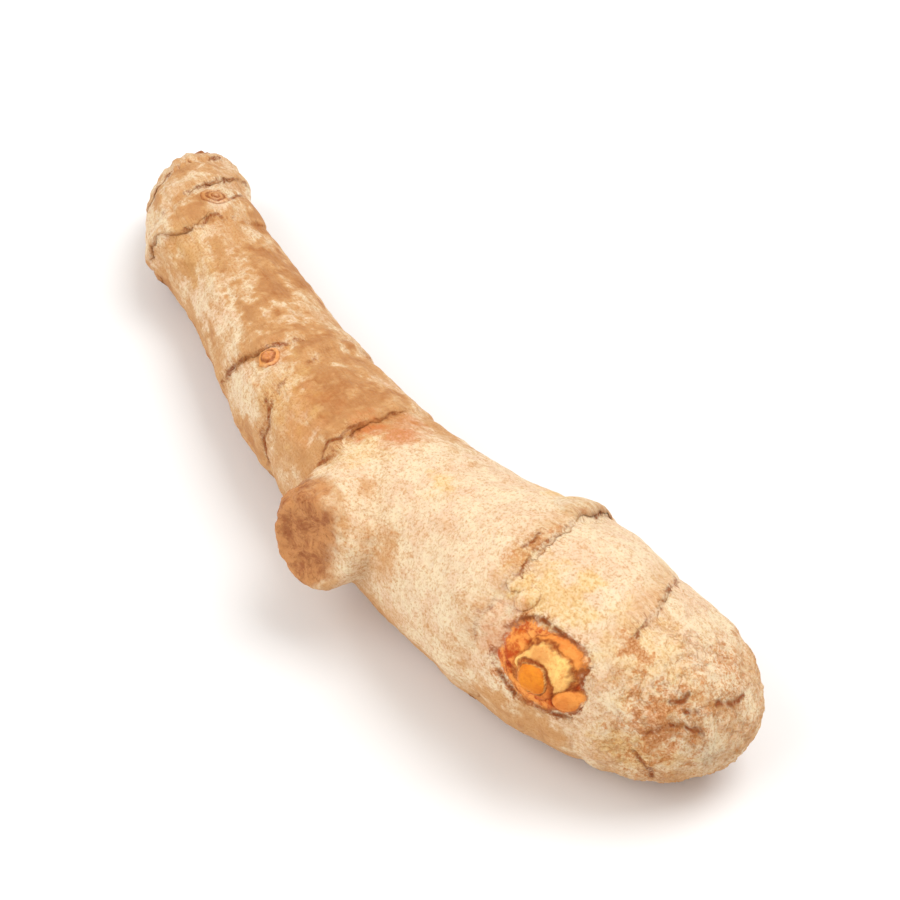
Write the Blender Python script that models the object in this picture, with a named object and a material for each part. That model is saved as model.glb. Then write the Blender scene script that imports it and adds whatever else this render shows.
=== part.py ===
"""A fresh turmeric finger: one whole side branch of a rhizome, lying on its side.

The finger grew in one piece, so it is one solid.  X runs from the base, where it
broke off the mother rhizome, to the blunt growing tip.  Z is up.  Angles around the
finger start at its +Y side and go over the top (90) to the -Y side (180).
All lengths are in metres and all angles in degrees.
"""
import math

import bmesh
import bpy
from mathutils import Matrix, Vector, noise

# Overall size of the finger.
FINGER_LENGTH = 0.1000         # base scar to growing tip, along X
BELLY_WIDTH = 0.0206           # across the thickest joint, close to the tip
SIDE_BOW = 0.0132              # how far the middle of the finger bows toward -Y

# The middle line seen from above: share of the length, share of the bow.
SPINE = [
    (0.00, -0.06),
    (0.11, -0.54),
    (0.20, -0.61),
    (0.38, -0.90),
    (0.54, -1.01),
    (0.74, -0.92),
    (0.88, -0.67),
    (1.00, -0.22),
]

# Girth: share of the length, share of the belly width.
GIRTH = [
    (0.00, 0.36),
    (0.04, 0.49),
    (0.12, 0.58),
    (0.20, 0.55),
    (0.36, 0.67),
    (0.54, 0.77),
    (0.70, 0.88),
    (0.79, 1.00),
    (0.91, 0.88),
    (1.00, 0.80),
]

# Leaf scars, base to tip: share of the length, lean toward the tip, side that leads.
LEAF_SCARS = [
    (0.040, 20, 180),
    (0.082, 25, 150),
    (0.137, 12, 50),
    (0.354, 24, 60),
    (0.424, 18, 200),
    (0.530, 5, 150),
    (0.784, 5, 75),
    (0.886, 3, 90),
]
JOINT_SWELL = 0.00035          # barrel swelling of each joint between two leaf scars
SHEATH_LIP = 0.00030           # height of the sheath edge that stands over each leaf scar
LIP_RUN = 0.0006               # length over which that edge drops
LUMP_HEIGHT = 0.00030          # soft lumps all over the skin
LUMP_SPACING = 0.009

# Rounded growing end and broken base.
TIP_START = 0.908              # share of the length where the rounding begins
BASE_CUP = 0.0008              # how deep the base scar is hollowed
BASE_RIM = 0.78                # size of the hollow, as a share of the base
FLAT_DEPTH = 0.00040           # the underside is pressed flat by this much

# Buds in the angles of the leaf scars: scar, angle, gap past the scar, width, height.
BUDS = [
    (1, 78, 0.0033, 0.0028, 0.0006),
    (2, 330, 0.0030, 0.0034, 0.0007),
    (3, 117, 0.0017, 0.0022, 0.0005),
    (4, 350, 0.0030, 0.0042, 0.0009),
    (6, 152, 0.0059, 0.0070, 0.0012),
]
BUD_PROFILE = [
    (1.00, -1.30),
    (1.00, -0.30),
    (0.92, 0.10),
    (0.76, 0.16),
    (0.68, 0.50),
    (0.52, 0.58),
    (0.44, 0.84),
    (0.24, 1.00),
]

# Stubs of roots, cut short: scar, angle, gap past the scar.
ROOTS = [
    (6, 130, 0.0018),
    (5, 320, 0.0030),
    (3, 20, 0.0040),
    (6, 324, 0.0034),
    (7, 340, 0.0030),
]
ROOT_WIDTH = 0.0019
ROOT_REACH = 0.0008
ROOT_PROFILE = [(1.00, -1.00), (1.06, 0.30), (0.96, 0.85), (0.66, 1.00), (0.40, 0.80)]

# Stub of a side finger that broke off.
STUB_SCAR = 5                  # it grows from the joint past this leaf scar
STUB_GAP = 0.0005
STUB_ANGLE = 163
STUB_WIDTH = 0.0102
STUB_REACH = 0.0046            # how far it stands out of the skin
STUB_LEAN = 20                 # lean toward the tip
STUB_PROFILE = [
    (1.16, -0.90),
    (1.14, -0.20),
    (1.03, 0.22),
    (1.00, 0.60),
    (0.95, 0.86),
    (0.85, 1.00),
    (0.70, 0.97),
    (0.40, 0.88),
]

# Faces of the solid.
AROUND = 44                    # around the finger
STUB_AROUND = 28
BUD_AROUND = 20
ROOT_AROUND = 12
LOOP_SPACING = 0.0028          # between loops along a joint
LEAST_LOOPS = 3                # in the shortest joint
TIP_TURNS = (14, 28, 42, 55, 67, 78)
SNAP = 0.00001                 # skin this close to the table is set on it
NEAR_SHARE = 0.01              # step along the finger for reading its direction
NEAR_ANGLE = 4                 # and step around it


def smooth_value(pairs, share):
    """Height of the smooth curve through the pairs, at one share of the length."""
    last = len(pairs) - 2
    index = 0
    while index < last and share > pairs[index + 1][0]:
        index += 1
    before = pairs[max(0, index - 1)]
    start = pairs[index]
    end = pairs[index + 1]
    after = pairs[min(last + 1, index + 2)]
    run = end[0] - start[0]
    t = (share - start[0]) / run
    slope_start = (end[1] - before[1]) / (end[0] - before[0])
    slope_end = (after[1] - start[1]) / (after[0] - start[0])
    ease = t * t * (3 - 2 * t)
    lead = t * (1 - t) ** 2 * run * slope_start
    trail = t * t * (1 - t) * run * slope_end
    return start[1] + (end[1] - start[1]) * ease + lead - trail


def half_girth(share):
    """Half the width of the finger, without lips, swelling or lumps."""
    return smooth_value(GIRTH, share) * BELLY_WIDTH / 2


def spine_point(share):
    """Middle of the finger at one share of its length."""
    return Vector((share * FINGER_LENGTH, smooth_value(SPINE, share) * SIDE_BOW, half_girth(share)))


def spine_side(share):
    """Level direction square to the middle line, toward +Y."""
    ahead = spine_point(min(1.0, share + 2 * NEAR_SHARE))
    behind = spine_point(max(0.0, share - 2 * NEAR_SHARE))
    run = ahead - behind
    return Vector((-run.y, run.x, 0)).normalized()


def scar_share(scar, angle):
    """Where a leaning leaf scar crosses one side of the finger."""
    share, lean, lead_side = scar
    reach = half_girth(share) * math.tan(math.radians(lean)) / FINGER_LENGTH
    return share + reach * math.cos(math.radians(angle - lead_side))


def skin_point(share, angle, extra=0.0):
    """Point of the skin, with its soft lumps."""
    turn = math.radians(angle)
    out = spine_side(share) * math.cos(turn) + Vector((0, 0, math.sin(turn)))
    radius = half_girth(share) + extra
    place = spine_point(share) + out * radius
    lump = noise.noise(place / LUMP_SPACING) * LUMP_HEIGHT
    return place + out * lump


def joint_loops():
    """Loops of skin points from the base scar to the start of the rounded end."""
    stations = [(0.0, 0, 0)] + LEAF_SCARS + [(TIP_START, 0, 0)]
    angles = [360 * step / AROUND for step in range(AROUND)]
    lip_share = LIP_RUN / FINGER_LENGTH
    loops = [[skin_point(0.0, angle) for angle in angles]]
    for start, end in zip(stations, stations[1:]):
        gaps = max(LEAST_LOOPS, round((end[0] - start[0]) * FINGER_LENGTH / LOOP_SPACING))
        for step in range(1, gaps):
            t = step / gaps
            swell = JOINT_SWELL * math.sin(math.pi * t)
            loop = []
            for angle in angles:
                share = scar_share(start, angle) * (1 - t) + scar_share(end, angle) * t
                loop.append(skin_point(share, angle, swell))
            loops.append(loop)
        if end in LEAF_SCARS:
            edge = [scar_share(end, angle) for angle in angles]
            lip = [share - lip_share for share in edge]
            loops.append([skin_point(share, angle, SHEATH_LIP) for share, angle in zip(lip, angles)])
            loops.append([skin_point(share, angle, -SHEATH_LIP / 2) for share, angle in zip(edge, angles)])
    loops.append([skin_point(TIP_START, angle) for angle in angles])
    return loops


def dome_loops():
    """Loops closing the growing tip, down to the last small one."""
    loops = []
    for bend in TIP_TURNS:
        share = TIP_START + (1 - TIP_START) * math.sin(math.radians(bend))
        shrink = half_girth(share) * (math.cos(math.radians(bend)) - 1)
        loops.append([skin_point(share, 360 * step / AROUND, shrink) for step in range(AROUND)])
    return loops


def add_loop(solid, points):
    """Add one loop of vertices."""
    return [solid.verts.new(point) for point in points]


def bridge(solid, first, second):
    """Faces between two loops of vertices."""
    count = len(first)
    for step in range(count):
        after = (step + 1) % count
        solid.faces.new((first[step], first[after], second[after], second[step]))


def close_end(solid, loop, centre):
    """Fan of faces from a loop to one point."""
    hub = solid.verts.new(centre)
    count = len(loop)
    for step in range(count):
        solid.faces.new((loop[step], loop[(step + 1) % count], hub))


def finger_mesh():
    """The finger itself, closed at its hollowed base and rounded tip."""
    solid = bmesh.new()
    skin = [add_loop(solid, points) for points in joint_loops() + dome_loops()]
    for first, second in zip(skin, skin[1:]):
        bridge(solid, first, second)
    close_end(solid, skin[-1], spine_point(1.0))

    middle = spine_point(0.0)
    cup = [middle + (vertex.co - middle) * BASE_RIM for vertex in skin[0]]
    cup = [point + Vector((BASE_CUP / 2, 0, 0)) for point in cup]
    rim = add_loop(solid, cup)
    bridge(solid, rim, skin[0])
    close_end(solid, rim[::-1], middle + Vector((BASE_CUP, 0, 0)))
    bmesh.ops.recalc_face_normals(solid, faces=solid.faces)
    mesh = bpy.data.meshes.new("turmeric_finger")
    solid.to_mesh(mesh)
    solid.free()
    return mesh


def skin_frame(share, angle):
    """Frame standing on the skin: Z out of the skin, X toward the tip."""
    place = skin_point(share, angle)
    along = (skin_point(share + NEAR_SHARE, angle) - place).normalized()
    around = (skin_point(share, angle + NEAR_ANGLE) - place).normalized()
    out = around.cross(along).normalized()
    frame = Matrix((along, out.cross(along), out)).transposed().to_4x4()
    frame.translation = place
    return frame


def turned_solid(name, profile, half_width, height, frame, faces_around):
    """Round closed solid from a profile of (share of half width, share of height)."""
    solid = bmesh.new()
    loops = []
    for width_share, height_share in profile:
        loop = []
        for step in range(faces_around):
            turn = 2 * math.pi * step / faces_around
            radius = half_width * width_share
            point = Vector((radius * math.cos(turn), radius * math.sin(turn), height * height_share))
            loop.append(frame @ point)
        loops.append(add_loop(solid, loop))
    for first, second in zip(loops, loops[1:]):
        bridge(solid, first, second)
    close_end(solid, loops[0][::-1], frame @ Vector((0, 0, height * profile[0][1])))
    close_end(solid, loops[-1], frame @ Vector((0, 0, height * profile[-1][1])))
    bmesh.ops.recalc_face_normals(solid, faces=solid.faces)
    mesh = bpy.data.meshes.new(name)
    solid.to_mesh(mesh)
    solid.free()
    tool = bpy.data.objects.new(name, mesh)
    bpy.context.scene.collection.objects.link(tool)
    return tool


def grow_together(body, tool):
    """Join a bud or a stub to the finger as one solid."""
    joint = body.modifiers.new("grown together", "BOOLEAN")
    joint.operation = "UNION"
    joint.solver = "EXACT"
    joint.object = tool
    graph = bpy.context.evaluated_depsgraph_get()
    joined = bpy.data.meshes.new_from_object(body.evaluated_get(graph))
    body.modifiers.clear()
    body.data = joined
    bpy.data.objects.remove(tool)


def past_scar(scar_number, angle, gap):
    """Frame on the skin, a little way past one leaf scar."""
    share = scar_share(LEAF_SCARS[scar_number], angle) + gap / FINGER_LENGTH
    return skin_frame(share, angle)


def add_buds(finger):
    """Resting side buds, wrapped in rings of small scales."""
    for scar_number, angle, gap, width, height in BUDS:
        frame = past_scar(scar_number, angle, gap)
        bud = turned_solid("bud", BUD_PROFILE, width / 2, height, frame, BUD_AROUND)
        grow_together(finger, bud)


def add_roots(finger):
    """Short stubs where the roots were trimmed off."""
    for scar_number, angle, gap in ROOTS:
        frame = past_scar(scar_number, angle, gap)
        root = turned_solid("root", ROOT_PROFILE, ROOT_WIDTH / 2, ROOT_REACH, frame, ROOT_AROUND)
        grow_together(finger, root)


def add_stub(finger):
    """Stub left where a side finger broke off, with a hollowed dry end."""
    frame = past_scar(STUB_SCAR, STUB_ANGLE, STUB_GAP + STUB_WIDTH / 2)
    leaning = frame @ Matrix.Rotation(math.radians(STUB_LEAN), 4, "Y")
    stub = turned_solid("stub", STUB_PROFILE, STUB_WIDTH / 2, STUB_REACH, leaning, STUB_AROUND)
    grow_together(finger, stub)


def press_flat(finger):
    """Flatten the underside and set it on the table, origin under the middle."""
    solid = bmesh.new()
    solid.from_mesh(finger.data)
    lowest = min(vertex.co.z for vertex in solid.verts)
    cut = Vector((0, 0, lowest + FLAT_DEPTH))
    everything = solid.verts[:] + solid.edges[:] + solid.faces[:]
    bmesh.ops.bisect_plane(
        solid, geom=everything, plane_co=cut, plane_no=(0, 0, 1), dist=SNAP, clear_inner=True
    )
    for vertex in solid.verts:
        if vertex.co.z < cut.z + SNAP:
            vertex.co.z = cut.z
    bmesh.ops.holes_fill(solid, edges=[edge for edge in solid.edges if edge.is_boundary])
    xs = [vertex.co.x for vertex in solid.verts]
    ys = [vertex.co.y for vertex in solid.verts]
    move = Vector((-(min(xs) + max(xs)) / 2, -(min(ys) + max(ys)) / 2, -cut.z))
    bmesh.ops.translate(solid, verts=solid.verts, vec=move)
    solid.to_mesh(finger.data)
    solid.free()


def fresh_skin():
    """Pale tan turmeric skin, dull and a little waxy."""
    skin = bpy.data.materials.new("turmeric_skin")
    skin.use_nodes = True
    surface = skin.node_tree.nodes["Principled BSDF"]
    surface.inputs["Base Color"].default_value = (0.72, 0.50, 0.27, 1)
    surface.inputs["Roughness"].default_value = 0.62
    surface.inputs["Metallic"].default_value = 0.0
    return skin


def build():
    """Clear the scene and grow the finger."""
    for thing in list(bpy.data.objects):
        bpy.data.objects.remove(thing)
    finger = bpy.data.objects.new("turmeric_finger", finger_mesh())
    bpy.context.scene.collection.objects.link(finger)
    add_stub(finger)
    add_buds(finger)
    add_roots(finger)
    press_flat(finger)
    for face in finger.data.polygons:
        face.use_smooth = True
    finger.data.materials.clear()
    finger.data.materials.append(fresh_skin())


build()
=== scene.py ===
import math

import bpy
import numpy as np
from mathutils import Matrix, Vector, noise
from mathutils.kdtree import KDTree


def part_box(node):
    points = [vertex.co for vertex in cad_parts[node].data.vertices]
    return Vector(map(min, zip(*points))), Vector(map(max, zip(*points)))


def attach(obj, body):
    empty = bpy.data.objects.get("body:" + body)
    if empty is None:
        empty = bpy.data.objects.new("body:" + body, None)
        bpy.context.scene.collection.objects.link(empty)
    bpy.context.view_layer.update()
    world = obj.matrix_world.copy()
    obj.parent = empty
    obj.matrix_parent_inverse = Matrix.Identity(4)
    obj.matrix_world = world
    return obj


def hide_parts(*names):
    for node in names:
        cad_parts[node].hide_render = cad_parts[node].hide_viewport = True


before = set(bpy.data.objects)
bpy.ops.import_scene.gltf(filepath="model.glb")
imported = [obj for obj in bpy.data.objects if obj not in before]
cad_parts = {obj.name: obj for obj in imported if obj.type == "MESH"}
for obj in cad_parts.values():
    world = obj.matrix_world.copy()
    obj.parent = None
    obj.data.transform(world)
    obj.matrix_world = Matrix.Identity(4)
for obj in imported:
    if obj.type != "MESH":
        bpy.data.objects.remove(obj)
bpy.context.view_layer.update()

# ---------------------------------------------------------------- finger skin
# The whole finger, grown in one piece: swollen joints between ragged leaf scars, a
# hollow scar at the base where it left the mother root, and a blunt growing tip.
# Its skin is thin dry cork, cream to tan, over the orange flesh.
MM = 0.001
FINGER = "turmeric_finger"
BODY = "root"
SKIN_GRID = 0.00028            # m, spacing of the points on the finished skin
FINGER_LENGTH = 100.0          # mm, base scar to tip
BASE_INSET = 1.86              # mm, from the end of the box to the middle of the base scar
LINE_STEPS = 240               # stations along the middle line
SLICES = 80                    # slices the middle line is read from
SLICE_HALF = 0.8               # mm
RIDGE_SHARE = 0.93             # of a slice's height, from where it counts as its ridge
RING_RADIUS = 8.0              # mm, for patterns that run around the finger

# Leaf scars: share of the length, lean (degrees), side that leads, ledge height (mm),
# sides where the ledge shows well (from, to) and how far the edge strays (mm).
LEAF_SCARS = [
    (0.038, 20, 180, 0.18, (40, 175), 0.5),
    (0.083, 25, 150, 0.24, (20, 120), 0.6),
    (0.138, 14, 50, 0.28, (85, 178), 1.1),
    (0.354, 24, 60, 0.22, (100, 175), 0.6),
    (0.424, 20, 200, 0.16, (120, 195), 0.6),
    (0.530, 6, 150, 0.26, (60, 135), 0.8),
    (0.788, 5, 75, 0.30, (40, 118), 0.9),
    (0.889, 16, 140, 0.16, (40, 112), 0.7),
]


def only(piece):
    """Select one piece and nothing else."""
    bpy.ops.object.select_all(action="DESELECT")
    piece.select_set(True)
    bpy.context.view_layer.objects.active = piece


def finish_with(piece, kind, **settings):
    """Put a modifier on a piece and apply it."""
    only(piece)
    modifier = piece.modifiers.new(kind.lower(), kind)
    for name, value in settings.items():
        setattr(modifier, name, value)
    bpy.ops.object.modifier_apply(modifier=modifier.name)


def points_of(piece):
    """Vertex places of a piece."""
    places = np.empty(len(piece.data.vertices) * 3, np.float32)
    piece.data.vertices.foreach_get("co", places)
    return places.reshape(-1, 3).astype(float)


def move_points(piece, places):
    """Put the vertices of a piece at these places."""
    piece.data.vertices.foreach_set("co", places.astype(np.float32).ravel())
    piece.data.update()


def note(piece, name, values):
    """Keep one number, or one place, for each vertex."""
    values = np.asarray(values, np.float32)
    if values.ndim == 1:
        layer = piece.data.attributes.new(name, "FLOAT", "POINT")
        layer.data.foreach_set("value", values)
    else:
        layer = piece.data.attributes.new(name, "FLOAT_VECTOR", "POINT")
        layer.data.foreach_set("vector", values.ravel())


def ease(values, start, end):
    """Soft step from 0 at start to 1 at end."""
    t = np.clip((values - start) / (end - start), 0, 1)
    return t * t * (3 - 2 * t)


def cloudy(places, spacing, depth, seed):
    """Cloudy random value at each place, mostly within -0.5 to 0.5."""
    shift = Vector((31.7 * seed, 17.3 * seed, 7.9 * seed))
    spots = (Vector(place) / spacing + shift for place in places)
    return np.array([noise.fractal(spot, 1.0, 2.1, depth) for spot in spots])


def normals_of(piece):
    """Outward direction at each vertex."""
    out = np.empty(len(piece.data.vertices) * 3, np.float32)
    piece.data.vertex_normals.foreach_get("vector", out)
    return out.reshape(-1, 3).astype(float)


cad_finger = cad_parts[FINGER]
skin = bpy.data.objects.new("finger_skin", cad_finger.data.copy())
bpy.context.scene.collection.objects.link(skin)
only(skin)
bpy.ops.object.mode_set(mode="EDIT")
bpy.ops.mesh.select_all(action="SELECT")
bpy.ops.mesh.remove_doubles(threshold=1e-6)
bpy.ops.mesh.tris_convert_to_quads()
bpy.ops.mesh.normals_make_consistent(inside=False)
bpy.ops.object.mode_set(mode="OBJECT")
finish_with(skin, "SUBSURF", levels=2, render_levels=2)
finish_with(skin, "REMESH", mode="VOXEL", voxel_size=SKIN_GRID)
finish_with(skin, "SMOOTH", factor=0.5, iterations=4)

# The middle line of the finger: the top of the skin lies over it, at twice its height.
box_low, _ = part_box(FINGER)
base_x = box_low.x / MM + BASE_INSET
skin_mm = points_of(skin) / MM


def middle_line():
    """Stations (x, y, half girth) from before the base to past the tip, in mm."""
    tops = []
    for x in np.linspace(base_x + 1.5, base_x + FINGER_LENGTH - 4, SLICES):
        near = skin_mm[np.abs(skin_mm[:, 0] - x) < SLICE_HALF]
        height = near[:, 2].max()
        ridge = near[near[:, 2] > RIDGE_SHARE * height]
        tops.append((x, (ridge[:, 1].min() + ridge[:, 1].max()) / 2, height / 2))
    tops = np.array(tops)
    t = (tops[:, 0] - base_x) / FINGER_LENGTH
    bow = np.polyfit(t, tops[:, 1], 5)
    girth = np.polyfit(t, tops[:, 2], 6)
    shares = np.linspace(-0.03, 1.03, LINE_STEPS)
    inside = np.clip(shares, 0.01, 0.96)
    slope = np.polyval(np.polyder(bow), inside)
    side = np.polyval(bow, inside) + slope * (shares - inside)
    return np.column_stack([base_x + shares * FINGER_LENGTH, side, np.polyval(girth, inside)]), shares


line, line_shares = middle_line()
line_run = np.gradient(line[:, :2], axis=0)
line_run /= np.linalg.norm(line_run, axis=1)[:, None]
line_side = np.column_stack([-line_run[:, 1], line_run[:, 0]])


def around_finger(places):
    """Share of the length, side angle and distance from the middle line, for places in mm."""
    share, angle, reach = np.empty(len(places)), np.empty(len(places)), np.empty(len(places))
    for start in range(0, len(places), 4000):
        part = places[start:start + 4000]
        gap = ((part[:, None, :2] - line[None, :, :2]) ** 2).sum(2)
        best = np.clip(gap.argmin(1), 1, LINE_STEPS - 2)
        off = part[:, :2] - line[best, :2]
        ahead = (off * line_run[best]).sum(1)
        across = (off * line_side[best]).sum(1)
        rise = part[:, 2] - line[best, 2]
        stop = start + len(part)
        share[start:stop] = line_shares[best] + ahead * line_run[best, 0] / FINGER_LENGTH
        angle[start:stop] = np.degrees(np.arctan2(rise, across)) % 360
        reach[start:stop] = np.hypot(rise, across)
    return share, angle, reach


def girth_at(share):
    """Half girth in mm at a share of the length."""
    return np.interp(share, line_shares, line[:, 2])


def scar_at(scar, angle):
    """Share of the length where a leaf scar crosses a side of the finger, and its ledge strength."""
    place, lean, lead, height, (first, last), stray = scar
    reach = girth_at(place) * math.tan(math.radians(lean)) / FINGER_LENGTH
    turn = np.radians(angle)
    ring = np.column_stack([np.full(len(angle), 40 * place),
                            RING_RADIUS * np.cos(turn), RING_RADIUS * np.sin(turn)])
    edge = stray * (1.2 * cloudy(ring, 4.5, 2, 3) + 0.40 * cloudy(ring, 1.8, 1, 4))
    shows = ease(angle, first - 14, first + 6) * (1 - ease(angle, last - 6, last + 14))
    faint = 0.25 + 0.45 * ease(cloudy(ring, 6.0, 1, 5), -0.1, 0.3)
    return place + reach * np.cos(turn - math.radians(lead)) + edge / FINGER_LENGTH, np.maximum(shows, faint)


share, angle, reach = around_finger(skin_mm)

# Places of buds and root starts, smoothed first so that finer buds can grow there:
# share of the length, side angle, half size (mm).
SMOOTHED = [(0.850, 152, 4.8), (0.125, 78, 2.0), (0.169, 330, 2.2), (0.387, 117, 1.7), (0.433, 350, 2.7),
            (0.807, 130, 1.7), (0.552, 320, 1.5), (0.418, 20, 1.5), (0.815, 324, 1.5), (0.914, 340, 1.5)]


def side_gap(side):
    """Turn from a side angle to each point, -180 to 180 degrees."""
    return (angle - side + 180) % 360 - 180


for place, side, wide in SMOOTHED:
    girth = float(girth_at(place))
    far = np.hypot((share - place) * FINGER_LENGTH, np.radians(side_gap(side)) * girth) / wide
    level = reach + (girth_at(share) - reach) * (1 - ease(far, 0.85, 1.25))
    skin_mm[:, 1] += (level - reach) * np.cos(np.radians(angle))
    skin_mm[:, 2] += (level - reach) * np.sin(np.radians(angle))
    reach = level
turn = np.radians(angle)
grain = np.column_stack([share * FINGER_LENGTH, RING_RADIUS * np.cos(turn), RING_RADIUS * np.sin(turn)])
along = grain[:, 0]
half = girth_at(share)

# How far each point lies past the nearest leaf scar, and how strongly that scar shows.
scar_gap = np.full(len(share), 99.0)
scar_show = np.zeros(len(share))
ledge = np.zeros(len(share))
for scar in LEAF_SCARS:
    edge, shows = scar_at(scar, angle)
    past = (share - edge) * FINGER_LENGTH
    height = scar[3] * shows
    over = ease(past, -0.22, 0.22)
    before = (1 - over) * np.exp(np.minimum(past, 0) / 1.6)
    beyond = over * np.exp(-np.maximum(past, 0) / 0.9)
    ledge += height * (before - 0.6 * beyond)
    nearer = np.abs(past) < np.abs(scar_gap)
    scar_gap = np.where(nearer, past, scar_gap)
    scar_show = np.where(nearer, shows, scar_show)

# The stub of the side finger and the base scar have their own broken faces, in mm.
STUB_FACE_HALF = 5.0
STUB_LIP_OUT = 0.35
STUB_LIP_HALF = 0.30
off_line = reach - half
stub_mask = ease(off_line, 1.2, 2.4) * ease(share, 0.49, 0.51) * (1 - ease(share, 0.68, 0.70))
stub_mask *= ease(angle, 120, 132) * (1 - ease(angle, 200, 215))
stub_points = skin_mm[stub_mask > 0.95]
stub_middle = stub_points.mean(0)
stub_out = np.linalg.svd(stub_points - stub_middle, full_matrices=False)[2][2]
stub_out *= -np.sign(stub_out[1])
stub_rise = (skin_mm - stub_middle) @ stub_out
stub_wide = np.linalg.norm(skin_mm - stub_middle - stub_rise[:, None] * stub_out, axis=1)
stub_wide += 0.80 * cloudy(skin_mm, 1.6, 3, 23)
stub_face = stub_mask * (1 - ease(stub_wide, STUB_FACE_HALF - 0.8, STUB_FACE_HALF + 0.9))
stub_lip = stub_mask * np.exp(-((stub_wide - STUB_FACE_HALF - STUB_LIP_OUT) / STUB_LIP_HALF) ** 2)
base_mask = 1 - ease(along, 0.2, 1.4)
tip_mask = ease(along, 91.0, 96.0)

# Short cracks in the skin: the points (share, side angle) that each runs through.
CRACKS = [
    [(0.362, 134), (0.352, 150), (0.343, 166)],
    [(0.428, 138), (0.438, 141), (0.447, 152), (0.447, 166), (0.456, 185)],
    [(0.535, 97), (0.531, 104), (0.536, 112), (0.529, 120), (0.533, 130), (0.545, 142), (0.558, 151)],
    [(0.787, 95), (0.789, 100), (0.785, 106)],
    [(0.823, 136.5), (0.833, 132.3), (0.842, 131.0), (0.850, 131.4)],
    [(0.856, 131.2), (0.869, 131.8), (0.883, 131.6), (0.892, 133.0)],
    [(0.895, 144), (0.901, 139)],
    [(0.853, 177.5), (0.869, 173.8), (0.887, 174.4), (0.903, 171.5)],
    [(0.818, 168.5), (0.829, 172.2), (0.840, 177.2)],
    [(0.968, 168), (0.973, 172), (0.976, 180)],
    [(0.973, 178), (0.979, 192), (0.975, 215)],
    [(0.982, 128), (0.988, 118), (0.994, 112), (0.998, 98)],
    [(0.972, 146), (0.978, 138), (0.981, 131)],
    [(0.974, 112), (0.979, 104), (0.977, 97)],
    [(0.984, 108), (0.989, 96)],
    [(0.990, 76), (0.993, 56), (0.989, 44)],
    [(0.120, 62), (0.104, 44), (0.092, 30)],
    [(0.256, 20), (0.262, 350), (0.257, 330)],
    [(0.690, 230), (0.697, 250), (0.694, 268)],
    [(0.640, 20), (0.646, 2), (0.641, 345)],
]
crack_gap = np.full(len(share), 9.0)
for crack in CRACKS:
    for (share_a, side_a), (share_b, side_b) in zip(crack, crack[1:]):
        girth = float(girth_at(share_a))
        wide = math.radians(1) * girth
        turn_b = (side_b - side_a + 180) % 360 - 180
        run = np.array([(share_b - share_a) * FINGER_LENGTH, turn_b * wide])
        here = np.column_stack([(share - share_a) * FINGER_LENGTH, side_gap(side_a) * wide])
        t = np.clip((here @ run) / (run @ run), 0, 1)
        gap = np.linalg.norm(here - t[:, None] * run, axis=1)
        crack_gap = np.minimum(crack_gap, gap + 0.05)

# Outline of the broken skin around the swelling bud: share, side angle.
BUD_EDGE = [
    (0.823, 136.8), (0.834, 132.7), (0.843, 131.4), (0.852, 131.2), (0.869, 132.0), (0.883, 132.0),
    (0.892, 133.2), (0.899, 137.7), (0.898, 144.2), (0.906, 149.4), (0.911, 153.5), (0.911, 161.4),
    (0.902, 170.2), (0.887, 174.1), (0.869, 173.2), (0.854, 177.3), (0.840, 177.1), (0.830, 171.9),
    (0.816, 167.7), (0.809, 162.5), (0.811, 153.7), (0.813, 143.7),
]


def depth_inside(outline, share, angle):
    """How far each place lies inside an outline drawn on the skin, in mm; negative outside."""
    wide = math.radians(1) * float(girth_at(outline[0][0]))
    corners = [(place * FINGER_LENGTH, side * wide) for place, side in outline]
    here_x, here_y = share * FINGER_LENGTH, angle * wide
    nearest = np.full(len(share), 99.0)
    inside = np.zeros(len(share), bool)
    for (x_a, y_a), (x_b, y_b) in zip(corners, corners[1:] + corners[:1]):
        run_x, run_y = x_b - x_a, y_b - y_a
        t = np.clip(((here_x - x_a) * run_x + (here_y - y_a) * run_y) / (run_x ** 2 + run_y ** 2), 0, 1)
        nearest = np.minimum(nearest, np.hypot(here_x - x_a - t * run_x, here_y - y_a - t * run_y))
        meets = x_a + (here_y - y_a) * run_x / (run_y or 1e-9)
        inside ^= ((y_a > here_y) != (y_b > here_y)) & (here_x < meets)
    return np.where(inside, nearest, -nearest)


bud_depth = depth_inside(BUD_EDGE, share, angle) + 0.35 * cloudy(skin_mm, 1.2, 2, 25)
bud_lip = 0.20 * np.exp(-((bud_depth + 0.35) / 0.40) ** 2)
bud_lip -= 0.16 * np.exp(-((bud_depth - 0.30) / 0.40) ** 2)

# The skin is moved out and in along its own direction: lumps, lengthwise wrinkles,
# ledges of the leaf scars, cracks, and the crust of the tip.  Heights are in mm.
LUMP, SMALL_LUMP = 0.22, 0.10
WRINKLE, OLD_WRINKLE = 0.10, 0.12
FINE_RING = 0.05
TIP_CRUST = 0.15
STUB_ROUGH, STUB_LIP_HEIGHT, BASE_ROUGH = 0.28, 0.14, 0.30
CRACK_DEPTH = 0.11
ALONG_FIBRES = np.array([0.22, 1.0, 1.0])
AROUND_RINGS = np.array([1.0, 0.25, 0.25])

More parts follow.
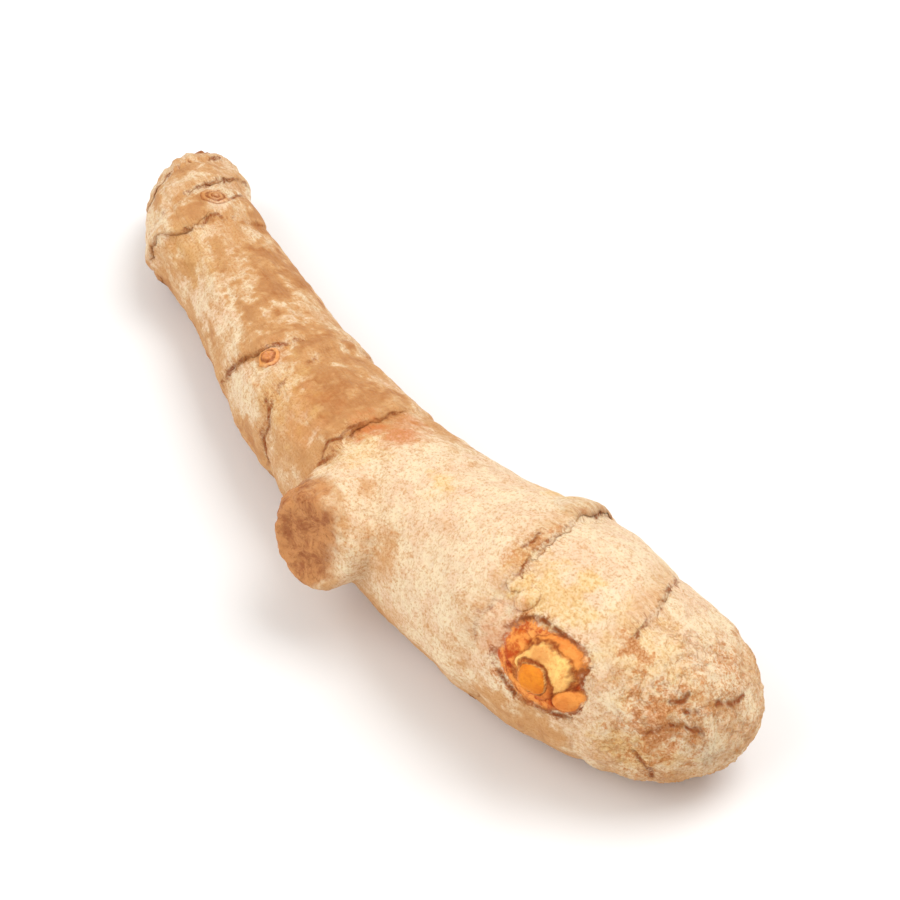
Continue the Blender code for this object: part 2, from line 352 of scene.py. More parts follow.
lumps = LUMP * cloudy(skin_mm, 5.0, 2, 1) + SMALL_LUMP * cloudy(skin_mm, 2.0, 2, 2)
wrinkles = WRINKLE + OLD_WRINKLE * (1 - ease(share, 0.42, 0.62))
wrinkles *= cloudy(grain * ALONG_FIBRES, 1.5, 3, 6)
rings = FINE_RING * cloudy(grain * AROUND_RINGS, 1.2, 2, 7)
crust = tip_mask * (TIP_CRUST * (0.5 - np.abs(cloudy(skin_mm, 1.5, 3, 8)) * 4).clip(-1, 1))
broken = stub_face * STUB_ROUGH * cloudy(skin_mm, 1.3, 3, 9)
broken += base_mask * BASE_ROUGH * cloudy(skin_mm, 1.0, 3, 10)
broken += STUB_LIP_HEIGHT * stub_lip * (1 + 2 * cloudy(skin_mm, 1.4, 2, 24))
cut = -CRACK_DEPTH * (1 - ease(crack_gap, 0.10, 0.50))
ledge *= (1 - stub_mask) * (1 - tip_mask)
moved = lumps + wrinkles + rings + crust + broken + cut + bud_lip + ledge
moved *= ease(skin_mm[:, 2], -0.02, 0.5)
skin_mm = skin_mm + normals_of(skin) * moved[:, None]
skin_mm[:, 2] = np.maximum(skin_mm[:, 2], 0.0)
move_points(skin, skin_mm * MM)
only(skin)
bpy.ops.object.shade_smooth()

# Coloured patches: share, side angle, half length and half width in mm, strength.
BROWN_PATCHES = [
    (0.045, 86, 3.0, 3.0, 0.75), (0.060, 66, 2.4, 1.8, 0.8), (0.080, 134, 2.0, 0.8, 0.9),
    (0.060, 130, 1.6, 0.7, 0.8), (0.130, 106, 2.0, 1.7, 0.75), (0.118, 92, 1.2, 1.4, 0.6),
    (0.125, 30, 4.0, 2.4, 1.0), (0.155, 38, 1.6, 1.4, 1.0), (0.196, 104, 2.6, 1.0, 0.55),
    (0.188, 148, 1.8, 1.0, 0.75), (0.165, 151, 1.6, 0.8, 0.5), (0.270, 158, 1.8, 1.6, 0.75),
    (0.225, 78, 2.6, 3.0, 0.85), (0.275, 78, 4.6, 3.2, 1.0), (0.255, 50, 5.0, 3.0, 0.9),
    (0.300, 86, 3.0, 2.4, 0.9), (0.400, 72, 4.0, 3.0, 0.9), (0.470, 78, 4.0, 3.0, 0.8),
    (0.845, 186, 5.0, 2.4, 0.5),
    (0.320, 111, 3.2, 1.2, 0.75), (0.362, 105, 2.4, 1.7, 0.95), (0.372, 122, 2.0, 1.0, 0.7),
    (0.350, 140, 1.0, 2.6, 0.55), (0.420, 94, 3.2, 1.8, 0.85), (0.435, 60, 4.0, 4.0, 0.6),
    (0.480, 92, 4.4, 4.0, 0.85), (0.505, 74, 3.6, 3.4, 1.0), (0.500, 100, 2.6, 2.6, 0.7),
    (0.505, 134, 3.0, 3.2, 0.45),
    (0.532, 146, 2.2, 1.4, 0.55), (0.415, 185, 2.6, 1.6, 0.6), (0.300, 210, 6.0, 3.0, 0.5),
    (0.130, 215, 5.0, 3.0, 0.5), (0.560, 20, 5.0, 4.0, 0.6), (0.360, 340, 6.0, 3.6, 0.7),
    (0.800, 340, 6.0, 4.0, 0.6), (0.660, 280, 8.0, 5.0, 0.5), (0.930, 300, 5.0, 4.0, 0.6),
]
DARK_SPOTS_AND_SHADOW = [
    (0.791, 99, 0.9, 0.7, 1.0), (0.794, 90, 0.5, 1.1, 0.8), (0.789, 112, 0.9, 0.7, 0.7),
    (0.781, 114, 0.7, 0.6, 0.6), (0.912, 112, 1.0, 0.8, 0.9), (0.922, 112, 1.2, 0.9, 1.0),
    (0.931, 111, 1.2, 0.9, 0.9), (0.939, 117, 1.2, 0.8, 0.7), (0.949, 126, 1.2, 0.7, 0.6),
    (0.976, 130, 2.0, 4.0, 1.0), (0.984, 150, 1.4, 3.0, 0.9), (0.952, 134, 1.6, 1.6, 0.45),
    (0.985, 90, 1.6, 2.0, 0.45), (0.968, 84, 1.6, 1.6, 0.35), (0.974, 174, 1.0, 0.8, 0.9),
    (0.885, 150, 0.9, 0.8, 0.5), (0.940, 160, 0.6, 0.5, 0.5), (0.972, 60, 1.4, 1.6, 0.6),
    (0.975, 200, 1.6, 2.2, 0.5), (0.950, 250, 2.0, 2.4, 0.6),
    # The spot at 0.832, 170 along the low side of the large bud is partly a painted shadow as well as dark
    # skin.
    (0.832, 170, 2.6, 1.0, 0.9), (0.850, 174, 1.6, 0.6, 0.7), (0.893, 146, 0.8, 1.2, 0.5),
    (0.610, 240, 1.2, 1.0, 0.6), (0.700, 330, 1.0, 1.4, 0.7), (0.500, 350, 1.4, 1.0, 0.7),
]
ORANGE_PATCHES = [
    (0.542, 90, 1.9, 2.0, 0.95), (0.572, 80, 2.4, 2.0, 0.75), (0.560, 70, 2.6, 2.2, 0.5),
    (0.815, 148, 2.4, 3.0, 0.55), (0.480, 120, 4.0, 3.0, 0.25),
    (0.385, 112, 1.8, 2.2, 0.30), (0.660, 300, 4.0, 4.0, 0.6), (0.240, 330, 4.0, 3.0, 0.45),
]
YELLOW_PATCHES = [
    (0.835, 119, 4.0, 3.4, 0.9), (0.852, 101, 1.3, 1.5, 1.0), (0.662, 92, 1.8, 1.5, 0.8),
    (0.925, 112, 4.4, 4.4, 0.6), (0.950, 100, 3.0, 3.0, 0.5), (0.965, 170, 3.0, 3.0, 0.8),
    (0.440, 124, 4.6, 3.0, 0.5), (0.560, 106, 3.0, 3.0, 0.5), (0.755, 48, 3.4, 2.2, 0.9),
    (0.180, 130, 4.0, 2.4, 0.35),
]
PALE_PATCHES = [
    (0.112, 152, 2.6, 2.2, 1.0), (0.133, 84, 1.0, 1.6, 0.9), (0.295, 128, 4.4, 1.3, 0.8),
    (0.400, 156, 3.4, 2.2, 0.7), (0.340, 158, 2.4, 1.6, 0.5), (0.575, 116, 3.0, 2.8, 0.6),
    (0.160, 110, 1.6, 1.6, 0.4), (0.335, 82, 2.4, 1.4, 0.8), (0.235, 128, 2.6, 1.4, 0.5),
    (0.020, 110, 2.6, 4.0, 0.8), (0.240, 152, 6.0, 1.8, 0.9), (0.100, 168, 3.4, 3.0, 0.9),
    (0.940, 100, 4.0, 5.0, 0.9), (0.700, 80, 9.0, 8.0, 0.6), (0.840, 70, 7.0, 8.0, 0.8),
    (0.920, 84, 4.0, 5.0, 0.6),
]


def patches(spots, raggedness, spacing, seed):
    """Strength of ragged-edged patches at each point of the skin."""
    stray = cloudy(skin_mm, spacing, 3, seed) + 0.5 * cloudy(skin_mm, spacing / 3, 2, seed + 1)
    stray *= raggedness
    strength = np.zeros(len(share))
    for place, side, half_long, half_wide, strong in spots:
        wide = math.radians(1) * float(girth_at(place))
        far = np.hypot((share - place) * FINGER_LENGTH / half_long, side_gap(side) * wide / half_wide)
        strength = np.maximum(strength, strong * (1 - ease(far + stray, 0.35, 1.30)))
    return strength


# Tan deepens toward the older, thinner base end: share, tan. Under the finger the tan is deepened further as
# painted shade.
AGE = [(0.0, 0.42), (0.10, 0.40), (0.16, 0.60), (0.30, 0.60), (0.40, 0.50), (0.48, 0.62), (0.53, 0.60),
       (0.56, 0.40), (0.66, 0.20), (0.80, 0.12), (0.90, 0.22), (0.96, 0.36), (1.0, 0.45)]
MOTTLE_TAN = 0.35
STREAK_TAN = 0.30
LOW_SIDE_SHADE_TAN = 0.88
BROWN_PATCH_TAN = 1.00
PALE_PATCH_TAN = 0.65
STUB_SKIN_TAN = 0.55
BUD_LEVEL = 4.0                # added to the depth in the bud's opening, to keep it above zero

old = np.interp(share, *zip(*AGE))
# Painted shade: the lower a point lies on the finger, the more tan it gets, less so toward the tip.
low_side_shade = (1 - ease(skin_mm[:, 2] / (2 * half), 0.10, 0.62)) * (1 - 0.60 * ease(share, 0.86, 0.92))
mottle = cloudy(skin_mm, 4.5, 3, 11)
streak = cloudy(grain * np.array([0.3, 1.0, 1.0]), 2.2, 3, 12) * (1 - ease(share, 0.5, 0.7) * 0.6)
tan = old + MOTTLE_TAN * mottle + STREAK_TAN * streak + LOW_SIDE_SHADE_TAN * low_side_shade + STUB_SKIN_TAN * stub_mask
tan += BROWN_PATCH_TAN * patches(BROWN_PATCHES, 1.2, 1.8, 13)
tan -= PALE_PATCH_TAN * patches(PALE_PATCHES, 1.0, 2.0, 15)
dark = patches(DARK_SPOTS_AND_SHADOW, 1.3, 0.9, 17)
orange = patches(ORANGE_PATCHES, 0.7, 2.0, 19)
yellow = patches(YELLOW_PATCHES, 0.9, 1.6, 21)

skin_notes = {
    "grain": grain,
    "tan": np.clip(tan, 0, 1.5),
    "dark": dark,
    "orange": orange,
    "yellow": yellow,
    "scar_gap": np.clip(scar_gap, -6, 6),
    "scar_far": np.clip(np.abs(scar_gap), 0, 6),
    "scar_show": scar_show * (1 - stub_mask),
    "old_side": ease(-scar_gap, 0.0, 0.3) * (1 - ease(-scar_gap, 0.6, 3.0)),
    "crack_gap": np.clip(crack_gap, 0, 3),
    "bud_depth": np.clip(bud_depth, -3, 3) + BUD_LEVEL,
    "tip": ease(along, 89.0, 96.0),
    "broken": np.clip(stub_face + base_mask, 0, 1),
    "lip": stub_lip,
}
for name, values in skin_notes.items():
    note(skin, name, values)


class Finish:
    """A material put together node by node."""

    def __init__(self, name):
        self.material = bpy.data.materials.new(name)
        self.material.use_nodes = True
        self.tree = self.material.node_tree
        self.surface = self.tree.nodes["Principled BSDF"]

    def node(self, kind, settings=(), **inputs):
        """Add a node; its inputs are given by name, or by number after an underscore."""
        made = self.tree.nodes.new(kind)
        for name, value in dict(settings).items():
            setattr(made, name, value)
        for name, value in inputs.items():
            key = int(name[1:]) if name[0] == "_" else name
            self.feed(made.inputs[key], value)
        return made

    def feed(self, socket, value):
        """Join a socket to another node's output, or give it a plain value."""
        if isinstance(value, bpy.types.NodeSocket):
            self.tree.links.new(value, socket)
        else:
            socket.default_value = value

    def kept(self, name, part="Fac"):
        """What is noted on the piece under this name."""
        return self.node("ShaderNodeAttribute", {"attribute_name": name}).outputs[part]

    def sum(self, operation, first, second=0.0, third=0.0):
        """One step of arithmetic."""
        made = self.node("ShaderNodeMath", {"operation": operation}, _0=first, _1=second, _2=third)
        return made.outputs[0]

    def plus(self, total, *values):
        """Values added up."""
        for value in values:
            total = self.sum("ADD", total, value)
        return total

    def times(self, total, *values):
        """Values multiplied."""
        for value in values:
            total = self.sum("MULTIPLY", total, value)
        return total

    def swing(self, value, amount):
        """A 0 to 1 cloud made to swing about zero, this much from low to high."""
        return self.sum("MULTIPLY_ADD", value, amount, -amount / 2)

    def away(self, value, middle):
        """How far a value is from a middle one."""
        return self.sum("ABSOLUTE", self.sum("SUBTRACT", value, middle))

    def cloud(self, vector, scale, detail, rough, twist=0.0):
        """Cloudy pattern, 0 to 1."""
        made = self.node("ShaderNodeTexNoise", Vector=vector, Scale=scale, Detail=detail, Roughness=rough,
                         Distortion=twist)
        return made.outputs["Fac"]

    def step(self, value, start, end, low=0.0, high=1.0):
        """Soft step from low at start to high at end."""
        made = self.node("ShaderNodeMapRange", {"interpolation_type": "SMOOTHSTEP"},
                         _0=value, _1=start, _2=end, _3=low, _4=high)
        return made.outputs[0]

    def blend(self, amount, first, second):
        """First colour at amount 0, second at 1."""
        made = self.node("ShaderNodeMix", {"data_type": "RGBA"}, _0=amount, _6=first, _7=second)
        return made.outputs[2]

    def stretch(self, vector, scale):
        """Places of a pattern, drawn out along the axes with a small scale."""
        return self.node("ShaderNodeMapping", Vector=vector, Scale=scale).outputs[0]

    def relief(self, height, strength, distance):
        """Fine relief that follows a height."""
        made = self.node("ShaderNodeBump", Height=height, Strength=strength, Distance=distance)
        return made.outputs[0]


def tint(red, green, blue):
    """Colour from its everyday 0 to 255 values."""
    parts = [value / 255 for value in (red, green, blue)]
    return tuple(p / 12.92 if p <= 0.04045 else ((p + 0.055) / 1.055) ** 2.4 for p in parts) + (1.0,)


CREAM = tint(232, 211, 176)
PINK_CREAM = tint(227, 196, 163)
TAN = tint(202, 152, 100)
BROWN = tint(166, 102, 52)
DEEP_BROWN = tint(122, 62, 26)
SCAR_BROWN = tint(146, 70, 22)
CRUST_BROWN = tint(198, 124, 64)
YELLOW_TAN = tint(226, 184, 106)
BUD_ORANGE = tint(200, 98, 30)
BUD_RED = tint(182, 66, 6)
BUD_PEACH = tint(240, 156, 74)
BUD_PALE = tint(252, 206, 122)
BUD_CORE = tint(232, 142, 36)
FOLD_SHADE_RED = tint(118, 34, 2)
STUB_BROWN = tint(158, 96, 56)
STUB_TAN = tint(196, 136, 84)
CORK_SURFACE = {
    "Specular IOR Level": 0.15,
    "Subsurface Weight": 0.10,
    "Subsurface Radius": (1.0, 0.5, 0.2),
    "Subsurface Scale": 0.0008,
}
RELIEF_STRENGTH = 0.7
RELIEF_DEPTH = 0.0003          # m

# Patterns: spot runs along and around the finger in mm, solid is the place in metres.
cork = Finish("turmeric_cork")
spot = cork.kept("grain", "Vector")
solid = cork.node("ShaderNodeTexCoord").outputs["Object"]
fine = cork.cloud(solid, 2300.0, 5.0, 0.75)
speck = cork.cloud(solid, 4600.0, 3.0, 0.7)
patchy = cork.cloud(solid, 380.0, 5.0, 0.68, 0.4)
fibre = cork.cloud(cork.stretch(spot, (0.16, 1.0, 1.0)), 2.6, 4.0, 0.65, 0.3)
ringed = cork.cloud(cork.stretch(spot, (1.0, 0.16, 0.16)), 1.5, 3.0, 0.6, 0.6)

# Cork: cream where young, tan and then brown with age and, under the finger, with painted shade; golden and
# brown specks.
age_and_shade = cork.plus(cork.kept("tan"), cork.swing(fibre, 0.80), cork.swing(patchy, 1.10), cork.swing(fine, 0.70))
colour = cork.blend(cork.step(patchy, 0.40, 0.62), CREAM, PINK_CREAM)
colour = cork.blend(cork.step(age_and_shade, 0.05, 0.95), colour, TAN)
colour = cork.blend(cork.step(age_and_shade, 0.80, 1.90), colour, BROWN)
yellowed = cork.times(cork.kept("yellow"), cork.step(fine, 0.35, 0.6, 0.30, 0.75))
colour = cork.blend(yellowed, colour, YELLOW_TAN)
rubbed = cork.times(cork.kept("orange"), cork.step(fine, 0.3, 0.65, 0.55, 1.0))
colour = cork.blend(rubbed, colour, BUD_ORANGE)
gold = cork.times(cork.step(fine, 0.44, 0.64), cork.step(age_and_shade, -0.2, 0.8, 0.42, 0.65))
colour = cork.blend(gold, colour, TAN)
specks = cork.times(cork.step(speck, 0.46, 0.72), cork.step(age_and_shade, -0.2, 0.9, 0.22, 0.50))
colour = cork.blend(specks, colour, BROWN)

# Crust and squiggles at the tip, and darker spots.
rough_dark = cork.plus(cork.kept("dark"), cork.swing(fine, 2.0), cork.swing(speck, 1.2))
colour = cork.blend(cork.times(cork.step(rough_dark, 0.15, 0.95), 0.68), colour, CRUST_BROWN)
colour = cork.blend(cork.times(cork.step(rough_dark, 0.85, 1.40), 0.5), colour, SCAR_BROWN)
squiggle = cork.away(cork.cloud(solid, 620.0, 3.0, 0.6, 0.9), 0.5)
tip_line = cork.step(cork.plus(squiggle, cork.swing(fine, 0.10)), 0.0, 0.050, 1.0, 0.0)
tip_line = cork.times(tip_line, cork.kept("tip"), cork.step(patchy, 0.44, 0.58, 0.1, 1.0))
colour = cork.blend(cork.times(tip_line, 0.50), colour, CRUST_BROWN)

# Leaf scars and cracks: thin broken brown lines with a dry tan side.
dry = cork.times(cork.kept("old_side"), cork.kept("scar_show"), cork.step(fibre, 0.4, 0.6, 0.20, 0.65))
colour = cork.blend(dry, colour, TAN)
strand = cork.away(cork.cloud(cork.stretch(spot, (0.4, 2.4, 2.4)), 1.3, 2.0, 0.5, 0.4), 0.5)
strand = cork.step(strand, 0.0, 0.030, 1.0, 0.0)
strand = cork.times(strand, cork.step(cork.kept("scar_far"), 0.3, 2.2, 0.65, 0.0), cork.kept("scar_show"))
colour = cork.blend(strand, colour, BROWN)
jitter = cork.swing(cork.cloud(spot, 1.1, 5.0, 0.75), 1.8)
scar_line = cork.sum("ABSOLUTE", cork.plus(cork.kept("scar_gap"), jitter))
scar_line = cork.step(scar_line, 0.0, 0.34, 1.0, 0.0)
scar_line = cork.times(scar_line, cork.step(cork.kept("scar_far"), 0.7, 1.2, 1.0, 0.0))
worn = cork.step(cork.cloud(spot, 0.42, 4.0, 0.75), 0.44, 0.62)
scar_line = cork.times(scar_line, cork.kept("scar_show"), worn)
colour = cork.blend(cork.times(scar_line, 0.92), colour, SCAR_BROWN)
near_crack = cork.step(cork.kept("crack_gap"), 0.2, 1.3, 0.5, 0.0)
colour = cork.blend(cork.times(near_crack, cork.step(fine, 0.42, 0.62)), colour, BROWN)
crack_line = cork.step(cork.plus(cork.kept("crack_gap"), cork.swing(fine, 0.7)), 0.06, 0.30, 1.0, 0.0)
crack_line = cork.times(crack_line, cork.step(cork.cloud(spot, 0.8, 3.0, 0.7), 0.34, 0.54, 0.15, 1.0))
colour = cork.blend(cork.times(crack_line, 0.95), colour, SCAR_BROWN)

# Bare orange flesh where the large bud breaks out, and the colours of bud scales.
opening = cork.plus(cork.kept("bud_depth"), cork.swing(patchy, 1.8), cork.swing(fine, 1.4))
flesh = cork.blend(cork.step(cork.cloud(solid, 900.0, 5.0, 0.7), 0.40, 0.62), BUD_RED, BUD_PEACH)
colour = cork.blend(cork.step(opening, BUD_LEVEL - 0.05, BUD_LEVEL + 0.55, 0.0, 0.95), colour, flesh)
shade_here = cork.plus(cork.kept("shade"), cork.swing(fine, 0.24))
scale_colour = cork.blend(cork.step(shade_here, 0.08, 0.26), flesh, BUD_PEACH)
scale_colour = cork.blend(cork.step(shade_here, 0.38, 0.56), scale_colour, BUD_PALE)
scale_colour = cork.blend(cork.step(shade_here, 0.76, 0.94), scale_colour, BUD_CORE)
scale_colour = cork.blend(cork.times(cork.step(patchy, 0.42, 0.66), 0.55), scale_colour, BUD_ORANGE)
scale_colour = cork.blend(cork.times(cork.step(fine, 0.48, 0.70), 0.45), scale_colour, BUD_ORANGE)
colour = cork.blend(cork.kept("ripe"), colour, scale_colour)
opening_edge = cork.step(cork.away(opening, BUD_LEVEL + 0.05), 0.05, 0.40, 1.0, 0.0)
opening_edge = cork.times(opening_edge, cork.step(patchy, 0.38, 0.58, 0.1, 0.75))
colour = cork.blend(opening_edge, colour, SCAR_BROWN)
# The dark lines in the grooves between scales and round the foot of each bud are partly the scales' own dark
# edges and partly painted shade.
fold_shade_line = cork.times(cork.step(cork.kept("fold"), 0.15, 1.0), cork.step(fine, 0.30, 0.60, 0.45, 1.0),
                       cork.step(patchy, 0.36, 0.56, 0.45, 1.0))
fold_shade_colour = cork.blend(cork.kept("ripe"), SCAR_BROWN, FOLD_SHADE_RED)
colour = cork.blend(cork.times(fold_shade_line, 0.85), colour, fold_shade_colour)

# Torn edges of the dry leaf rims, and the broken faces of the stub and the base.
torn_edge = cork.plus(cork.kept("free_edge"), cork.swing(patchy, 0.5))
colour = cork.blend(cork.times(cork.step(torn_edge, 0.70, 1.05), 0.65), colour, BROWN)
wood = cork.blend(cork.step(cork.cloud(solid, 520.0, 5.0, 0.75, 0.5), 0.38, 0.60), STUB_BROWN, STUB_TAN)
wood = cork.blend(cork.times(cork.step(fine, 0.48, 0.70), 0.60), wood, DEEP_BROWN)
colour = cork.blend(cork.kept("broken"), colour, wood)
colour = cork.blend(cork.times(cork.kept("lip"), cork.step(fine, 0.30, 0.62, 0.6, 0.2)), colour, CREAM)

# Matt surface, with fibres and grain raised and every line sunk a little.
cork.feed(cork.surface.inputs["Base Color"], colour)
cork.feed(cork.surface.inputs["Roughness"], cork.step(fine, 0.3, 0.7, 0.50, 0.72))
for name, value in CORK_SURFACE.items():
    cork.feed(cork.surface.inputs[name], value)
height = cork.plus(cork.times(fibre, 0.6), cork.times(ringed, 0.3), cork.times(fine, 0.45))
height = cork.plus(height, cork.times(patchy, 0.8))
skin_line = cork.sum("MAXIMUM", scar_line, crack_line)
for sunk, depth in ((skin_line, 0.6), (tip_line, 0.5), (fold_shade_line, 0.5)):
    height = cork.sum("SUBTRACT", height, cork.times(sunk, depth))
cork.feed(cork.surface.inputs["Normal"], cork.relief(height, RELIEF_STRENGTH, RELIEF_DEPTH))
skin.data.materials.clear()
skin.data.materials.append(cork.material)
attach(skin, BODY)
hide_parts(FINGER)

# ---------------------------------------------------------------- side buds
# Resting buds sit past the leaf scars: low orange domes wrapped in a few tight
# scales.  The large one near the tip is swelling and has broken the cork; the pale
# knobs are buds and root starts that never grew.  All grow out of the same skin.
BUD_GRID = 84                  # faces across the large bud
SMALL_GRID = 36                # faces across the others
BUD_SUNK = 0.55                # mm a bud's border runs under the skin
BUD_WALL = 0.7                 # mm
FOLD_DEPTH = 0.10              # mm, of the groove between scales
SHADE_BLEND = 0.060            # mm of height over which the shades of two scales mix
# Scales of each bud, in mm: middle (toward tip, toward top), half sizes, turn (degrees),
# height, bluntness of the edge, shade (0 red to 1 yellow).
LARGE_BUD = [
    ((0.3, 0.2), (4.2, 3.8), 35, 0.25, 4.0, 0.00),
    ((0.5, 1.3), (3.7, 2.9), 35, 0.55, 4.0, 0.28),
    ((0.35, 0.95), (3.15, 2.75), 35, 0.98, 3.4, 0.58),
    ((0.05, 0.05), (2.30, 2.10), -30, 1.08, 5.0, 0.14),
    ((0.0, 0.0), (1.85, 1.65), -42, 1.70, 3.2, 1.00),
    ((3.1, -0.9), (1.5, 1.25), 30, 0.62, 3.0, 0.34),
    ((-2.6, 1.2), (1.6, 2.0), 10, 0.45, 3.0, 0.10),
]
ROUND_BUD = [((0, 0), (1.35, 1.30), 0, 0.28, 5.0, 0.25), ((0, 0), (0.95, 0.90), 0, 0.45, 4.0, 0.12)]
OVAL_BUD = [((0, 0), (1.8, 1.4), 30, 0.22, 5.0, 0.30), ((0, 0.1), (1.2, 0.9), 30, 0.42, 4.0, 0.22),
            ((0.1, 0.1), (0.65, 0.45), 30, 0.60, 3.0, 0.10)]
KNOB = [((0, 0), (1.45, 1.05), 60, 0.75, 2.6, 0.5), ((-1.1, 0.9), (1.0, 0.8), 20, 0.45, 3.0, 0.5)]
LITTLE_KNOB = [((0, 0), (1.0, 0.8), 40, 0.40, 3.0, 0.5), ((0.8, 0.9), (0.8, 0.6), 0, 0.34, 3.0, 0.5)]

# Buds: share of the length, side angle, half size (mm), scales, faces across,
# ripeness, roughness (mm), seed.
BUDS = {
    "large_bud": (0.8615, 157.5, 5.4, LARGE_BUD, BUD_GRID, 1.0, 0.08, 30),
    "round_bud": (0.386, 118, 1.8, ROUND_BUD, SMALL_GRID, 0.55, 0.05, 34),
    "oval_bud": (0.118, 81, 2.3, OVAL_BUD, SMALL_GRID, 0.18, 0.06, 36),
    "hidden_bud_low": (0.170, 330, 2.3, OVAL_BUD, SMALL_GRID, 0.35, 0.06, 38),
    "hidden_bud_side": (0.458, 350, 2.6, OVAL_BUD, SMALL_GRID, 0.35, 0.06, 40),
    "pale_knob": (0.818, 127, 2.4, KNOB, SMALL_GRID, 0.12, 0.06, 42),
    "little_knob": (0.800, 123, 1.8, LITTLE_KNOB, SMALL_GRID, 0.05, 0.06, 44),
}

skin_tree = KDTree(len(skin_mm))
for number, place in enumerate(skin_mm):
    skin_tree.insert(place, number)
skin_tree.balance()


def skin_spot(place, side):
    """Where a line from the middle leaves the skin, and its directions ahead, to the top and out."""
    station = np.array([np.interp(place, line_shares, line[:, k]) for k in range(3)])
    level = Vector([np.interp(place, line_shares, line_side[:, k]) for k in range(2)] + [0]).normalized()
    aside = math.radians(side)
    outward = level * math.cos(aside) + Vector((0, 0, math.sin(aside)))
    _, point, _, _ = skin.ray_cast(Vector(station) * MM, outward)
    ahead = Vector((level.y, -level.x, 0))
    return point, ahead, outward.cross(ahead), outward


def nearest_skin(piece):
    """Number of the skin point nearest to each vertex of a piece."""
    return np.array([skin_tree.find(place)[1] for place in points_of(piece) / MM])


def grown_from_skin(piece):
    """Note on a piece what is noted on the skin just under it, so the colours run on."""
    found = [skin_tree.find_n(place, 4) for place in points_of(piece) / MM]
    numbers = np.array([[hit[1] for hit in hits] for hits in found])
    weights = 1 / (np.array([[hit[2] for hit in hits] for hits in found]) + 0.05)
    weights /= weights.sum(1)[:, None]
    for name, values in skin_notes.items():
        picked = values[numbers]
        if picked.ndim == 3:
            note(piece, name, (picked * weights[:, :, None]).sum(1))
        else:
            note(piece, name, (picked * weights).sum(1))


def swelling(name, place, side, half_size, scales, faces, ripeness, roughness, seed):
    """A bud or knob: a patch of skin raised into overlapping scales."""
    point, ahead, top, outward = skin_spot(place, side)
    bpy.ops.object.select_all(action="DESELECT")
    bpy.ops.mesh.primitive_grid_add(x_subdivisions=faces, y_subdivisions=faces, size=2)
    bud = bpy.context.active_object
    bud.name = name
    square = points_of(bud)
    flat_x = square[:, 0] * np.sqrt(1 - square[:, 1] ** 2 / 2)
    flat_y = square[:, 1] * np.sqrt(1 - square[:, 0] ** 2 / 2)
    rim = np.hypot(flat_x, flat_y)
    flat = np.column_stack([flat_x, flat_y]) * half_size + scales[0][0]
    layer = np.column_stack([flat, np.full(len(flat), 3.0 * seed)])
    stray = cloudy(layer, 1.3, 3, seed)
    fine_stray = cloudy(layer, 0.45, 2, seed + 1)
    heights, fars = [], []
    for (mid_x, mid_y), (half_x, half_y), turned, rise, blunt, _ in scales:
        cosine, sine = math.cos(math.radians(turned)), math.sin(math.radians(turned))
        off_x, off_y = flat[:, 0] - mid_x, flat[:, 1] - mid_y
        far = np.hypot((off_x * cosine + off_y * sine) / half_x,
                       (off_y * cosine - off_x * sine) / half_y)
        far += 0.16 * stray + 0.06 * fine_stray
        heights.append(rise * np.clip(1 - np.clip(far, 0, 1.4) ** blunt, -0.8, 1))
        fars.append(far)
    order = np.sort(np.array(heights + [np.zeros(len(flat))]), axis=0)
    share_of = np.exp((np.array(heights) - order[-1]) / SHADE_BLEND)
    shades = np.array([scale[5] for scale in scales])
    shade = (share_of * shades[:, None]).sum(0) / (share_of.sum(0) + 1e-6)
    crease = order[-1] - order[-2]
    nearest = np.array(fars).min(0)
    height = order[-1] + roughness * (fine_stray + stray) * (1 - ease(rim, 0.7, 1.0))
    height = np.maximum(height, -0.08) - BUD_SUNK * ease(rim, 0.78, 1.0)
    height -= FOLD_DEPTH * (1 - ease(crease, 0.0, 0.18))
    places = []
    for (x, y), up in zip(flat, height):
        above = point + (ahead * x + top * y + outward * 6) * MM
        _, under, _, _ = skin.ray_cast(above, -outward, distance=20 * MM)
        lean_out = (outward + top * (0.05 * y) + ahead * (0.05 * x)).normalized()
        places.append(under + lean_out * (up * MM))
    move_points(bud, np.array(places))
    inner = 1 - ease(nearest, 0.84, 1.06)
    if scales is LARGE_BUD:    # its ripe flesh shows only inside the torn opening
        inner *= ease(bud_depth[nearest_skin(bud)], -0.35, 0.35)
    # fold marks the grooves between scales and round the bud's foot, where the cork paints a dark line that
    # is partly painted shade.
    fold = (1 - ease(crease, 0.0, 0.26)) * (1 - ease(nearest, 1.02, 1.16)) * (1 - ease(rim, 0.8, 0.95))
    note(bud, "shade", shade)
    note(bud, "ripe", ripeness * inner)
    note(bud, "fold", fold)
    grown_from_skin(bud)
    if bud.data.polygons[len(bud.data.polygons) // 2].normal @ outward < 0:
        bud.data.flip_normals()
    finish_with(bud, "SOLIDIFY", thickness=BUD_WALL * MM, offset=-1.0)
    bpy.ops.object.shade_smooth()
    bud.data.materials.append(cork.material)
    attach(bud, BODY)


for name, values in BUDS.items():
    swelling(name, *values)

# ---------------------------------------------------------------- dry leaf sheaths
# What is left of the scale leaves: thin papery rims that stay on at the leaf scars,
# torn along their free edge, tan with fine lengthwise fibres and a darker edge.
SHEATH_THICK = 0.06            # mm
SHEATH_STEP = 0.30             # mm between points along a rim
SHEATH_ROWS = 8                # faces across a rim
ROOTED = 0.16                  # mm the fixed edge runs under the skin
CRUMPLE = 0.07                 # mm
FIRST_SEED, SEED_STEP = 60, 5
